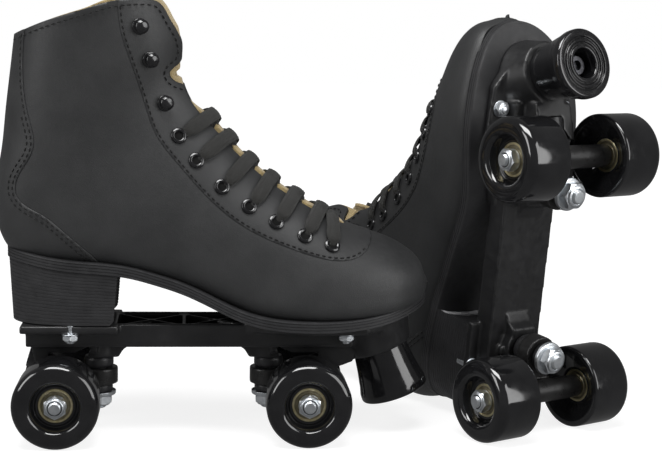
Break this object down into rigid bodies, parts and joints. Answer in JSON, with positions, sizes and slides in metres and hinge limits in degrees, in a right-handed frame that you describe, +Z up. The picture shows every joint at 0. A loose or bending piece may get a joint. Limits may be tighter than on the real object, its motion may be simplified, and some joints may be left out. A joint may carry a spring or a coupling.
{
  "type": "quad roller skates",
  "caption": "Pair of high laced quad roller skates: soft boots on nylon plates with steering trucks, wheels on ball bearings and a toe stop.",
  "frame": {"origin": "middle of the pair's footprint, on the floor", "axes": "+X towards the standing right skate's toe, +Y to its wearer's left, +Z up"},
  "size_m": [0.4222, 0.2966, 0.2784],
  "materials": {
    "leather": "matte grained synthetic leather",
    "lining": "napped tan fabric",
    "insole": "flat tan fabric",
    "sole_rubber": "ridged edge, satin",
    "heel_rubber": "ridged, satin",
    "black_enamel": "gloss black enamel",
    "lace": "flat woven",
    "plate_nylon": "moulded nylon",
    "truck_nylon": "moulded nylon",
    "zinc": "bright zinc plate",
    "dark_steel": "black oxide",
    "cushion_rubber": "smooth",
    "stop_rubber": "polished",
    "wheel_urethane": "polished urethane",
    "bearing_steel": "yellow zinc shields"
  },
  "bodies": {
    "right_boot": {"right_upper": "leather", "right_lining": "lining", "right_tongue": "lining", "right_insole": "insole", "right_outsole": "sole_rubber", "right_heel_block": "heel_rubber", "right_eyelets": "black_enamel", "right_hooks": "black_enamel", "right_laces": "lace", "right_plate": "plate_nylon", "right_plate_bolts": "zinc", "right_pivot_cups": "cushion_rubber", "right_kingpins": "zinc", "right_cushions": "cushion_rubber", "right_toe_stop": "stop_rubber", "right_toe_stop_bolt": "dark_steel"},
    "left_boot": {"left_upper": "leather", "left_lining": "lining", "left_tongue": "lining", "left_insole": "insole", "left_outsole": "sole_rubber", "left_heel_block": "heel_rubber", "left_eyelets": "black_enamel", "left_hooks": "black_enamel", "left_laces": "lace", "left_plate": "plate_nylon", "left_plate_bolts": "zinc", "left_pivot_cups": "cushion_rubber", "left_kingpins": "zinc", "left_cushions": "cushion_rubber", "left_toe_stop": "stop_rubber", "left_toe_stop_bolt": "dark_steel"},
    "right_front_truck_body": {"right_front_truck": "truck_nylon", "right_front_axle": "zinc", "right_front_inner_races": "bearing_steel"},
    "right_front_outer_wheel_body": {"right_front_outer_wheel": "wheel_urethane", "right_front_outer_bearings": "bearing_steel"},
    "right_front_inner_wheel_body": {"right_front_inner_wheel": "wheel_urethane", "right_front_inner_bearings": "bearing_steel"},
    "right_rear_truck_body": {"right_rear_truck": "truck_nylon", "right_rear_axle": "zinc", "right_rear_inner_races": "bearing_steel"},
    "right_rear_outer_wheel_body": {"right_rear_outer_wheel": "wheel_urethane", "right_rear_outer_bearings": "bearing_steel"},
    "right_rear_inner_wheel_body": {"right_rear_inner_wheel": "wheel_urethane", "right_rear_inner_bearings": "bearing_steel"},
    "left_front_truck_body": {"left_front_truck": "truck_nylon", "left_front_axle": "zinc", "left_front_inner_races": "bearing_steel"},
    "left_front_outer_wheel_body": {"left_front_outer_wheel": "wheel_urethane", "left_front_outer_bearings": "bearing_steel"},
    "left_front_inner_wheel_body": {"left_front_inner_wheel": "wheel_urethane", "left_front_inner_bearings": "bearing_steel"},
    "left_rear_truck_body": {"left_rear_truck": "truck_nylon", "left_rear_axle": "zinc", "left_rear_inner_races": "bearing_steel"},
    "left_rear_outer_wheel_body": {"left_rear_outer_wheel": "wheel_urethane", "left_rear_outer_bearings": "bearing_steel"},
    "left_rear_inner_wheel_body": {"left_rear_inner_wheel": "wheel_urethane", "left_rear_inner_bearings": "bearing_steel"}
  },
  "joints": [
    {"name": "right_front_steer", "type": "hinge", "parent": "right_boot", "child": "right_front_truck_body", "pos_m": [0.00195, -0.0696, 0.047], "axis": [0.9615, 0, 0.2747], "range_deg": [-8, 8], "stiffness_Nm_per_rad": 20, "deforming": ["right_cushions"]},
    {"name": "right_front_outer_spin", "type": "hinge", "parent": "right_front_truck_body", "child": "right_front_outer_wheel_body", "pos_m": [-0.01305, -0.1096, 0.027], "axis": [0, 1, 0], "continuous": true},
    {"name": "right_front_inner_spin", "type": "hinge", "parent": "right_front_truck_body", "child": "right_front_inner_wheel_body", "pos_m": [-0.01305, -0.0296, 0.027], "axis": [0, 1, 0], "continuous": true},
    {"name": "right_rear_steer", "type": "hinge", "parent": "right_boot", "child": "right_rear_truck_body", "pos_m": [-0.18505, -0.0696, 0.047], "axis": [-0.9615, 0, 0.2747], "range_deg": [-8, 8], "stiffness_Nm_per_rad": 20, "deforming": ["right_cushions"]},
    {"name": "right_rear_outer_spin", "type": "hinge", "parent": "right_rear_truck_body", "child": "right_rear_outer_wheel_body", "pos_m": [-0.17005, -0.1096, 0.027], "axis": [0, 1, 0], "continuous": true},
    {"name": "right_rear_inner_spin", "type": "hinge", "parent": "right_rear_truck_body", "child": "right_rear_inner_wheel_body", "pos_m": [-0.17005, -0.0296, 0.027], "axis": [0, 1, 0], "continuous": true},
    {"name": "left_skate_tip", "type": "hinge", "parent": "right_boot", "child": "left_boot", "pos_m": [0.14245, -0.0836, 0.027], "axis": [0.866, 0.5, 0], "range_deg": [0, 83.29]},
    {"name": "left_front_steer", "type": "hinge", "parent": "left_boot", "child": "left_front_truck_body", "pos_m": [0.14257, -0.0838, 0.20016], "axis": [-0.0803, 0.139, 0.987], "range_deg": [-8, 8], "stiffness_Nm_per_rad": 20, "deforming": ["left_cushions"]},
    {"name": "left_front_outer_spin", "type": "hinge", "parent": "left_front_truck_body", "child": "left_front_outer_wheel_body", "pos_m": [0.18626, -0.07949, 0.18293], "axis": [0.866, 0.5, 0], "continuous": true},
    {"name": "left_front_inner_spin", "type": "hinge", "parent": "left_front_truck_body", "child": "left_front_inner_wheel_body", "pos_m": [0.11698, -0.11949, 0.18293], "axis": [0.866, 0.5, 0], "continuous": true},
    {"name": "left_rear_steer", "type": "hinge", "parent": "left_boot", "child": "left_rear_truck_body", "pos_m": [0.13165, -0.06488, 0.01444], "axis": [-0.1926, 0.3336, -0.9228], "range_deg": [-8, 8], "stiffness_Nm_per_rad": 20, "deforming": ["left_cushions"]},
    {"name": "left_rear_outer_spin", "type": "hinge", "parent": "left_rear_truck_body", "child": "left_rear_outer_wheel_body", "pos_m": [0.17709, -0.0636, 0.027], "axis": [0.866, 0.5, 0], "continuous": true},
    {"name": "left_rear_inner_spin", "type": "hinge", "parent": "left_rear_truck_body", "child": "left_rear_inner_wheel_body", "pos_m": [0.10781, -0.1036, 0.027], "axis": [0.866, 0.5, 0], "continuous": true}
  ]
}
